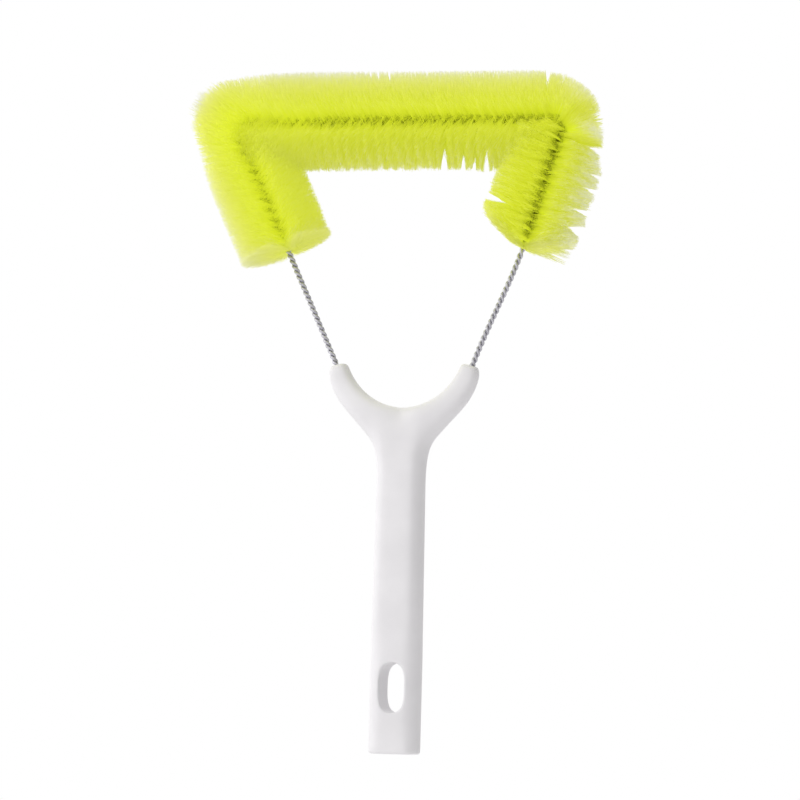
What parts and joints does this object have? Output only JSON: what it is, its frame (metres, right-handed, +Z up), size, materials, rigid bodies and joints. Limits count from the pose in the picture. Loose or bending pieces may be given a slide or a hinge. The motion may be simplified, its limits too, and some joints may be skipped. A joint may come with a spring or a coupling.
{
  "type": "window_cleaning_brush",
  "caption": "Hand-held window cleaning brush: a forked white plastic handle with a hang hole carries a bent loop of twisted steel wire, with lime green bristles held in its twist",
  "frame": {"origin": "centre of the flat face at the handle's butt end", "axes": "Z up along the handle from the butt to the brush, Y from the tool's face (-Y) to its back (+Y), X across the loop, with the wire's longer lean on the -X side"},
  "size_m": [0.1619, 0.0378, 0.2591],
  "materials": {
    "white_plastic": "satin",
    "galvanised_steel": "drawn wire",
    "lime_filament": "matte filaments"
  },
  "bodies": {
    "root": {"handle": "white_plastic", "wire_strand_a": "galvanised_steel", "wire_strand_b": "galvanised_steel", "bristles_left_leg": "lime_filament", "bristles_left_corner": "lime_filament", "bristles_top_left": "lime_filament", "bristles_top_middle": "lime_filament", "bristles_top_right": "lime_filament", "bristles_right_corner": "lime_filament", "bristles_right_leg": "lime_filament"}
  },
  "joints": []
}
